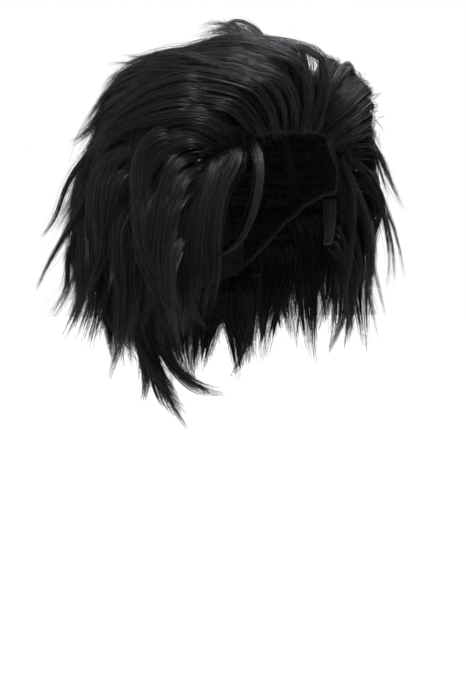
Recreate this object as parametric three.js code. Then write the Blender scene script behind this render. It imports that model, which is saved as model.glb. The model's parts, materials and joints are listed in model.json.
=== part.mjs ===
// A costume wig: a stretch cap of net, bands, elastic and adjusters, sewn all over with layered hair.
// Millimetres, +Z up. The wearer faces -Y, and +X is the wearer's left.
// The origin is the inside of the crown, where the top of the head rests.
import * as THREE from "three";
import { mergeVertices } from "three/addons/utils/BufferGeometryUtils.js";

// The head that the cap is cut for: about 56 cm round at the brow.
const HEAD_HALF_WIDTH = 77;
const HEAD_HALF_LENGTH = 97;
const HEAD_HALF_HEIGHT = 105;

// Depths below the widest level of the head, and the angle round it where each edge lies.
const NAPE_DEPTH = 61;
const HAIRLINE_LEVEL = 36;
const TAB_TOP_LEVEL = 8;
const TAB_BOTTOM_LEVEL = -24;
const TAB_FRONT = 63;
const TAB_BACK = 77;

// Layers of the cap, as [inside, outside] distances from the head.
const LABEL_LAYER = [-1.0, -0.5];
const STRAP_LAYER = [-2.8, -2.0];
const LINING_LAYER = [0.0, 0.4];
const NET_LAYER = [1.2, 1.9];
const BAND_LAYER = [2.8, 3.5];
const TRACK_LAYER = [4.4, 5.1];
const HAIR_BASE = 6.0;

// The sewn strips: widths in millimetres, heights and places in degrees.
const RIB_WIDTH = 9;
const RIB_TOP_LEVEL = 66;
const RIB_END_GAP = 4;
const BACK_RIB_ANGLE = 146;
const SIDE_RIB_ANGLE = 104;
const BAND_DEGREES = 8;
const EAR_BAND_DEGREES = 6;
const FRONT_LINING_DEGREES = 11;
const NAPE_LINING_DEGREES = 22;
const CROWN_PATCH_LEVEL = 67.5;
const CROWN_PATCH_LAYER = [BAND_LAYER[0], BAND_LAYER[1] + 0.4];
const TRACK_HEIGHT = 3;
const TRACK_RISE = 3;
const LOWEST_TRACK_LEVEL = -50;
const LABEL_SPAN = [174, 186];
const LABEL_LEVELS = [-36, -22];
const STAY_DEGREES = 2.4;

// Hair volume: how far the hair stands off the head.
const VOLUME_RIGHT = 48;
const VOLUME_LEFT = 36;
const VOLUME_TOP = 28;
const VOLUME_CREST = 12;
const CREST_LEVEL = 52;

// Where the hair stands higher or lies lower than that: [angle, level, rise, spread in degrees].
const BUMPS = [
  [-34, 73, 8, 18],
  [18, 64, -12, 14],
];
const LAYER_GAP = 0.8;
const SIDE_GAP = 0.5;
const LEVEL_GAP = 0.5;
const TIP_THICKNESS = 1.2;

// Every hair section has its corners on this lattice, so that layers follow one another closely.
const COLUMN_STEP = 10;
const LEVEL_LATTICE = [
  90, 82, 74, 66, 58, 50, 42, 34, 26, 18, 10, 2,
  -10, -22, -34, -46, -58, -72, -88, -104, -120, -136, -152,
];
const TOP_LEVEL = 66;
const TEMPLE_BOTTOM_LEVEL = 14;

// Rows of weft from the crown down: where the roots start and end, where the tips reach, the layer from
// inside, and how far each way from the middle of the back the track runs.
const ROWS = {
  upper: { top: TOP_LEVEL, bottom: 50, tip: -16, layer: 5, reach: 100 },
  middle: { top: 50, bottom: 26, tip: -50, layer: 4, reach: 100 },
  lower: { top: 26, bottom: 2, tip: -92, layer: 3, reach: 100 },
  collar: { top: 2, bottom: -22, tip: -118, layer: 2, reach: 72 },
  nape: { top: -22, bottom: -58, tip: -168, layer: 1, reach: 56 },
};
const LAYER_COUNT = 5;
const TOOTH_DEPTH = 12;
const ROOT_THICKNESS = 2;
const CHEEK_TIP_LEVEL = -84;
const CHEEK_TIP_THICKNESS = 8;
const CHEEK_FULLNESS = 30;

// The adjusters: degrees from the middle of the nape, round the nape's own centre.
const ADJUSTER_DEPTH = 49;
const ADJUSTER_HEIGHT = 8;
const HOOK_HEIGHT = 6;
const LOOP_TAPE_HEIGHT = 10;
const LOOP_TAPE_SPAN = [2, 20];
const HOOK_SPAN = [12, 18];
const STRAP_SPAN = [14, 48];
const LOOP_LAYER = [-1.5, -1.1];
const HOOK_LAYER = [STRAP_LAYER[0] - 1.5, STRAP_LAYER[0] - 0.5];

const HAIR_COLOUR = 0x17161a;
const NET_COLOUR = 0x15141a;
const ELASTIC_COLOUR = 0x1d1c20;
const VELVET_COLOUR = 0x121116;
const LABEL_COLOUR = 0xe9e6df;
const PLASTIC_COLOUR = 0x0d0d0f;

const HEAD_CENTRE = new THREE.Vector3(0, 0, -HEAD_HALF_HEIGHT);
const radians = THREE.MathUtils.degToRad;
const degrees = THREE.MathUtils.radToDeg;
const blend = THREE.MathUtils.lerp;
const smooth = THREE.MathUtils.smoothstep;

// Distance from the head's centre to its skin, at an angle round from the face and a level.
// A level above 0 is an elevation in degrees; below 0 it is a depth in millimetres.
function headReach(angle, level) {
  const across = Math.sin(radians(angle)) / HEAD_HALF_WIDTH;
  const along = Math.cos(radians(angle)) / HEAD_HALF_LENGTH;
  if (level > 0) {
    const flat = Math.cos(radians(level));
    const rise = Math.sin(radians(level)) / HEAD_HALF_HEIGHT;
    return 1 / Math.hypot(across * flat, along * flat, rise);
  }
  const depth = Math.min(-level, NAPE_DEPTH) / HEAD_HALF_HEIGHT;
  return Math.sqrt(1 - depth * depth) / Math.hypot(across, along);
}

// A point off the head: above the widest level it lies on a ray from the centre, below it level with its depth.
function place(angle, level, offset) {
  const reach = headReach(angle, level) + offset;
  const flat = level > 0 ? Math.cos(radians(level)) : 1;
  const rise = level > 0 ? Math.sin(radians(level)) * reach : level;
  return new THREE.Vector3(
    Math.sin(radians(angle)) * flat * reach,
    -Math.cos(radians(angle)) * flat * reach,
    rise - HEAD_HALF_HEIGHT,
  );
}

// The lower edge of the cap, round from the face: hairline, temple, over the ear, and down to the nape.
const CAP_EDGE = [
  [0, HAIRLINE_LEVEL],
  [22, 36],
  [38, 34],
  [48, 29],
  [56, 19],
  [62, 11],
  [78, 10],
  [95, 5],
  [110, -6],
  [125, -28],
  [140, -48],
  [156, -57],
  [180, -NAPE_DEPTH],
];

function capEdge(angle) {
  const turned = Math.abs(((angle + 180) % 360 + 360) % 360 - 180);
  const next = CAP_EDGE.findIndex(([at]) => at >= turned);
  if (next <= 0) {
    return CAP_EDGE[0][1];
  }
  const [fromAngle, fromLevel] = CAP_EDGE[next - 1];
  const [toAngle, toLevel] = CAP_EDGE[next];
  return blend(fromLevel, toLevel, (turned - fromAngle) / (toAngle - fromAngle));
}

// The sum of the bumps and dips at an angle and a level.
function bumpRise(angle, level) {
  const out = place(angle, level, 0).sub(HEAD_CENTRE);
  let sum = 0;
  for (const [atAngle, atLevel, rise, spread] of BUMPS) {
    const away = degrees(out.angleTo(place(atAngle, atLevel, 0).sub(HEAD_CENTRE)));
    sum += rise * Math.exp(-((away / spread) ** 2));
  }
  return sum;
}

// How far the outside of the hair stands off the head.
function hairVolume(angle, level) {
  const side = blend(VOLUME_RIGHT, VOLUME_LEFT, (1 + Math.sin(radians(angle))) / 2);
  const raised = Math.max(level, 0);
  const toTop = smooth(raised, CREST_LEVEL, 90);
  const front = smooth(Math.cos(radians(angle)), -0.6, 0.9);
  const crest = VOLUME_CREST * Math.exp(-(((raised - CREST_LEVEL) / 18) ** 2)) * front;
  const hang = smooth(-level, 80, 150);
  return (blend(side, VOLUME_TOP, toTop) + crest) * (1 - 0.45 * hang) + bumpRise(angle, level);
}

// The outside of one layer of hair, counted from the cap.
function layerTop(angle, level, layer) {
  return HAIR_BASE + (hairVolume(angle, level) - HAIR_BASE) * (layer / LAYER_COUNT);
}

// Only positions are kept, with shared corners merged, and the faces are turned to point out.
function closed(geometry) {
  geometry.deleteAttribute("normal");
  geometry.deleteAttribute("uv");
  const merged = mergeVertices(geometry, 1e-4);
  const position = merged.attributes.position;
  const index = Array.from(merged.index.array);
  const corner = (n) => new THREE.Vector3().fromBufferAttribute(position, n);
  const faces = [];
  let volume = 0;
  for (let n = 0; n < index.length; n += 3) {
    const [a, b, c] = [index[n], index[n + 1], index[n + 2]];
    if (a !== b && b !== c && c !== a) {
      faces.push([a, b, c]);
      volume += corner(a).dot(corner(b).cross(corner(c)));
    }
  }
  merged.setIndex(faces.flatMap(([a, b, c]) => (volume < 0 ? [a, c, b] : [a, b, c])));
  merged.computeVertexNormals();
  return merged;
}

// Moves every corner of a geometry to where the rule puts it.
function warp(geometry, rule) {
  const position = geometry.attributes.position;
  for (let n = 0; n < position.count; n += 1) {
    const moved = rule(position.getX(n), position.getY(n), position.getZ(n));
    position.setXYZ(n, moved.x, moved.y, moved.z);
  }
  return closed(geometry);
}

// A sheet with thickness: a box whose width and height follow the rule and whose depth runs outwards.
function sheet(columns, rows, rule) {
  const box = new THREE.BoxGeometry(1, 1, 1, columns, rows, 1);
  return warp(box, (x, y, z) => rule(x + 0.5, 0.5 - y, z + 0.5));
}

// A dome over the crown: a lathe-turned lens, wrapped on the head, whose rim lies at the given level.
function dome(segments, rings, rim, layer) {
  const profile = [];
  for (let n = 0; n <= rings; n += 1) {
    profile.push(new THREE.Vector2(n / rings, 1));
  }
  for (let n = rings; n >= 0; n -= 1) {
    profile.push(new THREE.Vector2(n / rings, 0));
  }
  return warp(new THREE.LatheGeometry(profile, segments), (x, y, z) => {
    const share = Math.hypot(x, z);
    const angle = share < 1e-6 ? 0 : degrees(Math.atan2(x, z));
    return place(angle, blend(90, rim(angle), share), layer(angle, share, y));
  });
}

// A strip that follows a line of levels, such as a band or a weft track.
function strip(columns, rows, from, to, lowLevel, highLevel, layer) {
  return sheet(columns, rows, (s, t, depth) => {
    const angle = blend(from, to, s);
    const level = blend(highLevel(angle), lowLevel(angle), t);
    return place(angle, level, blend(layer[0], layer[1], depth));
  });
}

// An elastic rib that runs straight down the cap at one angle, with an even width.
function rib(angle) {
  const bottom = capEdge(angle) + BAND_DEGREES + RIB_END_GAP;
  return sheet(1, 15, (s, t, depth) => {
    const level = blend(RIB_TOP_LEVEL, bottom, t);
    const flat = level > 0 ? Math.cos(radians(level)) : 1;
    const spread = degrees(RIB_WIDTH / (headReach(angle, level) * flat));
    return place(angle + (s - 0.5) * spread, level, blend(BAND_LAYER[0], BAND_LAYER[1], depth));
  });
}

// The columns and levels of the lattice between two limits, with small gaps to the next section.
function columnsBetween(from, to) {
  const columns = [from + SIDE_GAP];
  for (let angle = from + COLUMN_STEP; angle < to; angle += COLUMN_STEP) {
    columns.push(angle);
  }
  columns.push(to - SIDE_GAP);
  return columns;
}

function levelsBetween(top, bottom, clearance) {
  const inner = LEVEL_LATTICE.filter((level) => level < top && level > bottom + clearance);
  return [top - LEVEL_GAP, ...inner, bottom];
}

// A closed block of hair over lattice columns and levels, with its inside and outside set by rules.
function hairBlock(columns, levels, insideOf, outsideOf, levelOf) {
  return sheet(columns.length - 1, levels.length - 1, (s, t, depth) => {
    const column = Math.round(s * (columns.length - 1));
    const row = Math.round(t * (levels.length - 1));
    const angle = columns[column];
    const level = levelOf ? levelOf(levels[row], row === levels.length - 1, column) : levels[row];
    const inside = insideOf(angle, level, row);
    const outside = Math.max(outsideOf(angle, level, row), inside + TIP_THICKNESS);
    return place(angle, level, blend(inside, outside, depth));
  });
}

// One section of a weft row: thick at its root, falling over the row below, and toothed at its tips.
function weftSection(row, from, to) {
  const { top, bottom, tip, layer } = row;
  const levels = levelsBetween(top, tip, TOOTH_DEPTH + 1);
  const last = levels.length - 1;
  const insideOf = (angle, level, n) => {
    const covered = layerTop(angle, level, layer - 1) + LAYER_GAP;
    if (n === last) {
      return layerTop(angle, level, layer) - TIP_THICKNESS;
    }
    return level > bottom + 1 ? HAIR_BASE : covered;
  };
  const outsideOf = (angle, level) => layerTop(angle, level, layer);
  const levelOf = (level, isTip, column) => (isTip && column % 2 === 1 ? level + TOOTH_DEPTH : level);
  return hairBlock(columnsBetween(from, to), levels, insideOf, outsideOf, levelOf);
}

// The hair brushed up off the forehead and back: a block from the hairline to the top.
function frontSection(from, to) {
  const columns = columnsBetween(from, to);
  return sheet(columns.length - 1, 5, (s, t, depth) => {
    const angle = columns[Math.round(s * (columns.length - 1))];
    const level = blend(TOP_LEVEL, capEdge(angle) + 1.2, t);
    const lift = 1 - smooth(t, 0.5, 1.1);
    const outside = blend(HAIR_BASE + ROOT_THICKNESS, hairVolume(angle, level), lift);
    return place(angle, level - (t === 0 ? LEVEL_GAP : 0), blend(HAIR_BASE, outside, depth));
  });
}

// The hair in front of the ear's top, between the brushed-up front and the layered side.
function templeSection(from, to) {
  const insideOf = () => HAIR_BASE;
  const levels = levelsBetween(TOP_LEVEL, TEMPLE_BOTTOM_LEVEL, 0);
  return hairBlock(columnsBetween(from, to), levels, insideOf, hairVolume);
}

// The hair sewn on a cheek tab: thin at the tab's hinge line, full at the cheek, pointed at its tips.
function cheekSection(side) {
  return sheet(2, 6, (s, t, depth) => {
    const angle = side * blend(TAB_FRONT + 0.5, TAB_BACK - 0.5, blend(0.5, s, blend(1, 0.55, t)));
    const level = blend(TAB_TOP_LEVEL - 1, CHEEK_TIP_LEVEL, t);
    const fullness = CHEEK_FULLNESS * smooth(t, 0, 0.5) * blend(1, 0.55, smooth(t, 0.5, 1));
    const outside = HAIR_BASE + ROOT_THICKNESS + fullness;
    const inside = blend(HAIR_BASE, outside - CHEEK_TIP_THICKNESS, smooth(t, 0.4, 1));
    return place(angle, level, blend(inside, outside, depth));
  });
}

// One pointed lock of hair along a smooth curve: flat in section, widest near its root.
function lock(route, width, thickness) {
  const curve = new THREE.CatmullRomCurve3(route.map((spot) => place(...spot)));
  return warp(new THREE.CylinderGeometry(1, 1, 1, 8, 9), (x, y, z) => {
    const along = y + 0.5;
    const point = curve.getPointAt(along);
    const forward = curve.getTangentAt(along);
    const out = point.clone().sub(HEAD_CENTRE).normalize();
    const across = new THREE.Vector3().crossVectors(forward, out).normalize();
    const lifted = new THREE.Vector3().crossVectors(across, forward).normalize();
    const taper = Math.max(0.06, Math.sqrt(1 - along) * blend(0.7, 1, smooth(along, 0, 0.3)));
    point.addScaledVector(across, x * taper * (width / 2));
    return point.addScaledVector(lifted, z * taper * (thickness / 2));
  });
}

// An adjuster turns round the nape on the nape's own curve, so its pieces are cut from cones on this axis.
const NAPE_RADIUS = HEAD_HALF_WIDTH ** 2 / HEAD_HALF_LENGTH;
const NAPE_SHARE = Math.sqrt(1 - (ADJUSTER_DEPTH / HEAD_HALF_HEIGHT) ** 2);
const ADJUSTER_AXIS_Y = (HEAD_HALF_LENGTH - NAPE_RADIUS) * NAPE_SHARE;

function napeCone(from, to, depth, height, layer, columns) {
  return sheet(columns, 1, (s, t, thickness) => {
    const level = -depth + height * (0.5 - t);
    const shell = Math.sqrt(1 - (level / HEAD_HALF_HEIGHT) ** 2);
    const reach = HEAD_HALF_LENGTH * shell - ADJUSTER_AXIS_Y + blend(layer[0], layer[1], thickness);
    const turn = radians(180 - blend(from, to, s));
    return new THREE.Vector3(
      Math.sin(turn) * reach,
      ADJUSTER_AXIS_Y - Math.cos(turn) * reach,
      level - HEAD_HALF_HEIGHT,
    );
  });
}

// The flat hook on an adjuster's end, which slips into one of the loops on the tape.
function adjusterHook(side) {
  return napeCone(side * HOOK_SPAN[0], side * HOOK_SPAN[1], ADJUSTER_DEPTH, HOOK_HEIGHT, HOOK_LAYER, 2);
}

function piece(name, geometry, material) {
  const mesh = new THREE.Mesh(geometry, material);
  mesh.name = name;
  return mesh;
}

function cloth(color, roughness) {
  return new THREE.MeshStandardMaterial({ color, roughness, metalness: 0 });
}

function hairMaterial() {
  return cloth(HAIR_COLOUR, 0.42);
}

function netMaterial() {
  return cloth(NET_COLOUR, 0.85);
}

function elasticMaterial() {
  return cloth(ELASTIC_COLOUR, 0.8);
}

function velvetMaterial() {
  return cloth(VELVET_COLOUR, 0.95);
}

function labelMaterial() {
  return cloth(LABEL_COLOUR, 0.6);
}

function plasticMaterial() {
  return cloth(PLASTIC_COLOUR, 0.35);
}

const SIDES = [
  ["right", -1],
  ["left", 1],
];

function capBase() {
  const group = new THREE.Group();
  const netLayer = (angle, share, outside) => NET_LAYER[outside > 0.5 ? 1 : 0];
  group.add(piece("crown_net", dome(40, 12, capEdge, netLayer), netMaterial()));
  const patchLayer = (angle, share, outside) => CROWN_PATCH_LAYER[outside > 0.5 ? 1 : 0];
  group.add(piece("crown_patch", dome(36, 3, () => CROWN_PATCH_LEVEL, patchLayer), netMaterial()));
  return group;
}

function capBands() {
  const group = new THREE.Group();
  const above = (rise) => (angle) => capEdge(angle) + rise;
  const frontBand = strip(14, 2, -59, 59, capEdge, above(BAND_DEGREES), BAND_LAYER);
  group.add(piece("front_band", frontBand, velvetMaterial()));
  const frontLining = strip(14, 1, -52, 52, above(0.8), above(FRONT_LINING_DEGREES), LINING_LAYER);
  group.add(piece("front_lining", frontLining, velvetMaterial()));
  const napeBand = strip(14, 2, 122, 238, capEdge, above(BAND_DEGREES), BAND_LAYER);
  group.add(piece("nape_band", napeBand, elasticMaterial()));
  const napeLining = strip(14, 3, 135, 225, above(1), above(NAPE_LINING_DEGREES), LINING_LAYER);
  group.add(piece("nape_lining", napeLining, velvetMaterial()));
  for (const [name, side] of SIDES) {
    const earBand = strip(6, 1, side * 61, side * 120, capEdge, above(EAR_BAND_DEGREES), BAND_LAYER);
    group.add(piece(`${name}_ear_band`, earBand, elasticMaterial()));
  }
  const label = strip(3, 1, ...LABEL_SPAN, () => LABEL_LEVELS[0], () => LABEL_LEVELS[1], LABEL_LAYER);
  group.add(piece("care_label", label, labelMaterial()));
  return group;
}

function capRibs() {
  const group = new THREE.Group();
  group.add(piece("center_rib", rib(180), elasticMaterial()));
  for (const [name, side] of SIDES) {
    group.add(piece(`${name}_back_rib`, rib(side * BACK_RIB_ANGLE), elasticMaterial()));
    group.add(piece(`${name}_side_rib`, rib(side * SIDE_RIB_ANGLE), elasticMaterial()));
  }
  return group;
}

function weftTracks() {
  const group = new THREE.Group();
  for (const [name, { bottom, reach }] of Object.entries(ROWS)) {
    const level = Math.max(bottom + TRACK_RISE, LOWEST_TRACK_LEVEL);
    const top = () => level + TRACK_HEIGHT;
    const track = strip(24, 1, 180 - reach, 180 + reach, () => level, top, TRACK_LAYER);
    group.add(piece(`${name}_weft_track`, track, elasticMaterial()));
  }
  return group;
}

function cheekTab(name, side) {
  const group = new THREE.Group();
  const taper = (s, t) => side * blend(TAB_FRONT, TAB_BACK, blend(0.5, s, blend(1, 0.6, t)));
  const tab = sheet(3, 4, (s, t, depth) => {
    const level = blend(TAB_TOP_LEVEL, TAB_BOTTOM_LEVEL, t);
    return place(taper(s, t), level, blend(NET_LAYER[0], NET_LAYER[1], depth));
  });
  group.add(piece(`${name}_cheek_tab`, tab, velvetMaterial()));
  const stay = sheet(1, 4, (s, t, depth) => {
    const level = blend(TAB_TOP_LEVEL - 2, TAB_BOTTOM_LEVEL + 3, t);
    const angle = side * ((TAB_FRONT + TAB_BACK) / 2 + (s - 0.5) * STAY_DEGREES);
    return place(angle, level, blend(BAND_LAYER[0], BAND_LAYER[1], depth));
  });
  group.add(piece(`${name}_tab_stay`, stay, plasticMaterial()));
  group.add(piece(`${name}_cheek_hair`, cheekSection(side), hairMaterial()));
  return group;
}

function adjuster(name, side) {
  const group = new THREE.Group();
  const strapEnds = STRAP_SPAN.map((turn) => side * turn);
  const strap = napeCone(...strapEnds, ADJUSTER_DEPTH, ADJUSTER_HEIGHT, STRAP_LAYER, 6);
  group.add(piece(`${name}_adjuster_strap`, strap, elasticMaterial()));
  group.add(piece(`${name}_adjuster_hook`, adjusterHook(side), plasticMaterial()));
  const tapeEnds = LOOP_TAPE_SPAN.map((turn) => side * turn);
  const tape = napeCone(...tapeEnds, ADJUSTER_DEPTH, LOOP_TAPE_HEIGHT, LOOP_LAYER, 3);
  group.add(piece(`${name}_loop_tape`, tape, elasticMaterial()));
  return group;
}

function brushedTop() {
  const group = new THREE.Group();
  for (const [name, from, to] of [["right", -60, -20], ["center", -20, 20], ["left", 20, 60]]) {
    group.add(piece(`front_hair_${name}`, frontSection(from, to), hairMaterial()));
  }
  const topLayer = (angle, share, outside) =>
    outside > 0.5 ? hairVolume(angle, blend(90, TOP_LEVEL, share)) : HAIR_BASE;
  group.add(piece("crown_hair", dome(36, 5, () => TOP_LEVEL + LEVEL_GAP, topLayer), hairMaterial()));
  return group;
}

function layeredHair() {
  const group = new THREE.Group();
  for (const name of ["upper", "middle", "lower"]) {
    const row = ROWS[name];
    group.add(piece(`left_${name}_hair`, weftSection(row, 80, 130), hairMaterial()));
    group.add(piece(`back_${name}_hair`, weftSection(row, 130, 230), hairMaterial()));
    group.add(piece(`right_${name}_hair`, weftSection(row, 230, 280), hairMaterial()));
  }
  group.add(piece("left_collar_hair", weftSection(ROWS.collar, 110, 180), hairMaterial()));
  group.add(piece("right_collar_hair", weftSection(ROWS.collar, 180, 250), hairMaterial()));
  group.add(piece("left_nape_hair", weftSection(ROWS.nape, 130, 160), hairMaterial()));
  group.add(piece("center_nape_hair", weftSection(ROWS.nape, 160, 200), hairMaterial()));
  group.add(piece("right_nape_hair", weftSection(ROWS.nape, 200, 230), hairMaterial()));
  for (const [name, side] of SIDES) {
    const [from, to] = side > 0 ? [60, 80] : [-80, -60];
    group.add(piece(`${name}_temple_hair`, templeSection(from, to), hairMaterial()));
  }
  return group;
}

// Loose pointed locks: [name, route as angle, level and offset, width, thickness].
const LOCKS = [
  ["right_forelock", [[-31, 33, 6], [-29.5, 13, 13], [-33, -6, 15], [-40, -28, 14], [-55.5, -40, 13]], 12, 4],
  ["left_forelock", [[43, 30, 6.5], [46, 14, 9], [49, -8, 9], [51, -36, 12], [50, -66, 18], [49, -92, 24]], 11, 4],
  ["right_sidelock", [[-66, -30, 4], [-68, -50, 8], [-68, -68, 9], [-64, -80, 7], [-58, -88, 2]], 8, 3],
  ["crest_lock", [[-4, 73, 47], [-20, 76, 54], [-42, 75, 55], [-54, 68, 53]], 8, 4],
  ["right_flick", [[-114, 6, 55], [-120, -12, 59], [-126, -38, 70], [-130, -62, 88]], 14, 7],
  ["right_upper_flick", [[-118, 26, 54], [-124, 12, 55], [-128, -4, 59], [-131, -20, 69]], 10, 6],
  ["left_flick", [[96, 2, 47], [90, -22, 48], [84, -44, 53], [78, -60, 63]], 12, 6],
  ["nape_flick", [[-128, -44, 2.2], [-127, -80, 0], [-116, -112, -9], [-88, -134, -17], [-55, -140, -18]], 11, 3],
];

function looseLocks() {
  const group = new THREE.Group();
  for (const [name, route, width, thickness] of LOCKS) {
    group.add(piece(name, lock(route, width, thickness), hairMaterial()));
  }
  return group;
}

const wig = new THREE.Group();
wig.add(capBase(), capBands(), capRibs(), weftTracks());
for (const [name, side] of SIDES) {
  wig.add(cheekTab(name, side), adjuster(name, side));
}
wig.add(brushedTop(), layeredHair(), looseLocks());

export default wig;
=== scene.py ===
import json
import math

import bpy
import numpy as np
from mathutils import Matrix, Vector


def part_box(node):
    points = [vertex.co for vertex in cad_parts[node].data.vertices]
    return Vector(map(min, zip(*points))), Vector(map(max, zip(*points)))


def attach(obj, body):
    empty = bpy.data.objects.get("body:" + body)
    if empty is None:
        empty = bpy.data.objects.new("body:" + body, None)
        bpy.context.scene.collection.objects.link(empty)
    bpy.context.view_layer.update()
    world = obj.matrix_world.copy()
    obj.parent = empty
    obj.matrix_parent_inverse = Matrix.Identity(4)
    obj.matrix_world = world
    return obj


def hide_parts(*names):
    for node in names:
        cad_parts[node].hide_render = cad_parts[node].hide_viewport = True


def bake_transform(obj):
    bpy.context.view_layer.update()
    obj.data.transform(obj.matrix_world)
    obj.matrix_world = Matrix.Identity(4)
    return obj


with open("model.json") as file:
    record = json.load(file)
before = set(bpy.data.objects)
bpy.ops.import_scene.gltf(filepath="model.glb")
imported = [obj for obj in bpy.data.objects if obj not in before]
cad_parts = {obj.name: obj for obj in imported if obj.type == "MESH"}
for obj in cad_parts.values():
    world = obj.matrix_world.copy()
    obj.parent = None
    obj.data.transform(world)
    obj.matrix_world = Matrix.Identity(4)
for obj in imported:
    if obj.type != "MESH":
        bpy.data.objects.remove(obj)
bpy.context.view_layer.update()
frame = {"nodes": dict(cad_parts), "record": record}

# ---------------------------------------------------------------- the head that the cap is cut for, in metres
NET_OUTSIDE = 0.0019
NET_LOW, NET_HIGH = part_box("crown_net")
HALF_WIDTH = NET_HIGH.x - NET_OUTSIDE
HALF_LENGTH = NET_HIGH.y - NET_OUTSIDE
HALF_HEIGHT = 0.105
CENTRE = np.array([0.0, 0.0, NET_HIGH.z - NET_OUTSIDE - HALF_HEIGHT])
NAPE_DEPTH = CENTRE[2] - NET_LOW.z
HAIR_BASE = 0.0055

# Hair volume: how far the outermost hair stands off the head.
VOLUME_RIGHT = 0.047
VOLUME_LEFT = 0.035
VOLUME_TOP = 0.018
VOLUME_CREST = 0.012
CREST_LEVEL = 50

# Where the hair stands higher or lies lower than that: angle, level, rise, spread in degrees.
BUMPS = [
    (-30, 74, 0.012, 11), (16, 66, -0.018, 11), (74, 68, -0.018, 12), (50, 42, -0.008, 12),
    (48, 63, -0.006, 12), (-130, 27, -0.007, 20), (-130, -42, 0.010, 20), (52, -30, 0.012, 22),
]
NECK_TUCK = 0.016

# The parting: its place, its softness, and how far the hair on its left and right is brushed aside and back.
PARTING = 0.012
PARTING_SOFTNESS = 0.02
BRUSHED_ASIDE = (0.95, 0.55)
BRUSHED_BACK = (0.45, 0.85)

# Strands.
LOCK_SPACING = 0.0078
STRANDS_PER_LOCK = 52
MOST_STRANDS = 2700
STRAND_RADIUS = 0.00014
STRAND_POINTS = 13
WISPS = 4
SHORT_STRANDS = 0.2
SHORT_CUT = 0.82
STRAY_REACH = (1.2, 2.4)
STRAY_FRIZZ = 3.5
CORE_POINTS = 10
CORE_REACH = 0.8
CORE_SIDES = 6
GUIDE_POINTS = 27
LONER_SHARE = 0.14
SEED = 42

# The quiff: its tufts, the angle of the first root, and how many degrees the roots span.
QUIFF_TUFTS = 22
QUIFF_START = -34
QUIFF_SPAN = 44

# Strands of one tone share their place in the baked texture, from root to tip. The dark cores, painted shade
# inside each lock, have a strip of it.
BAKE_UV = "OFBake"
STRAND_UV_WIDTH = 0.9

TOP_LEVEL = 66

# The lower edge of the cap, round from the face: angle, then elevation in degrees or depth in millimetres.
CAP_EDGE = [
    (0, 36), (22, 36), (38, 34), (48, 29), (56, 19), (62, 11), (78, 10),
    (95, 5), (110, -6), (125, -28), (140, -48), (156, -57), (180, -61),
]


def smooth(values, low, high):
    share = np.clip((np.asarray(values, float) - low) / (high - low), 0, 1)
    return share * share * (3 - 2 * share)


def unit(vectors):
    return vectors / np.maximum(np.linalg.norm(vectors, axis=-1, keepdims=True), 1e-9)


def cap_edge(angle):
    turned = np.abs((np.asarray(angle, float) + 180) % 360 - 180)
    return np.interp(turned, [a for a, _ in CAP_EDGE], [e for _, e in CAP_EDGE])


def head_reach(direction, rise):
    """Distance from the head's middle to its skin along directions, at heights over its widest level."""
    across = direction[..., 0] / HALF_WIDTH
    along = direction[..., 1] / HALF_LENGTH
    over = direction[..., 2] / HALF_HEIGHT
    depth = np.clip(-rise, 0, NAPE_DEPTH) / HALF_HEIGHT
    return np.sqrt(1 - depth**2) / np.sqrt(across**2 + along**2 + over**2)


def place(angle, level, offset):
    """Points off the head. A level above 0 is an elevation in degrees, below 0 a depth in millimetres."""
    angle, level, offset = np.broadcast_arrays(*(np.asarray(v, float) for v in (angle, level, offset)))
    turn = np.radians(angle)
    lift = np.radians(np.maximum(level, 0))
    out = np.stack([np.sin(turn) * np.cos(lift), -np.cos(turn) * np.cos(lift), np.sin(lift)], -1)
    rise = np.minimum(level, 0) / 1000
    points = CENTRE + out * (head_reach(out, rise) + offset)[..., None]
    points[..., 2] += rise
    return points


def off_head(points):
    """How far points stand off the head, and which way out is."""
    out = points - CENTRE
    rise = out[..., 2].copy()
    out[..., 2] = np.maximum(out[..., 2], 0)
    distance = np.linalg.norm(out, axis=-1)
    out = out / distance[..., None]
    return distance - head_reach(out, rise), out


def direction(angle, level):
    return unit(place(angle, level, 0) - CENTRE)


def bump_rise(out):
    """The bumps and dips of the hair's outline, in directions out of the head's centre."""
    rise = 0
    for angle, level, height, spread in BUMPS:
        away = np.degrees(np.arccos(np.clip(out @ direction(angle, level), -1, 1)))
        rise = rise + height * np.exp(-((away / spread) ** 2))
    return rise


def hair_volume(points):
    """How far the outermost hair stands off the head at these points."""
    rel = points - CENTRE
    flat = np.hypot(rel[..., 0], rel[..., 1])
    elevation = np.degrees(np.arctan2(rel[..., 2], flat))
    side = VOLUME_RIGHT + (VOLUME_LEFT - VOLUME_RIGHT) * (1 + rel[..., 0] / np.maximum(flat, 1e-6)) / 2
    front = smooth(-rel[..., 1] / np.maximum(flat, 1e-6), -0.6, 0.9)
    crest = VOLUME_CREST * np.exp(-(((np.maximum(elevation, 0) - CREST_LEVEL) / 18) ** 2)) * front
    top = smooth(elevation, CREST_LEVEL - 4, 82)
    hang = smooth(-rel[..., 2], 0.08, 0.17)
    shrink = 1 - np.sqrt(1 - (np.clip(-rel[..., 2], 0, NAPE_DEPTH) / HALF_HEIGHT) ** 2)
    straight = (side + (VOLUME_TOP - side) * top + crest) * (1 - 0.5 * hang) + shrink * HALF_WIDTH
    return straight + bump_rise(unit(rel))


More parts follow.
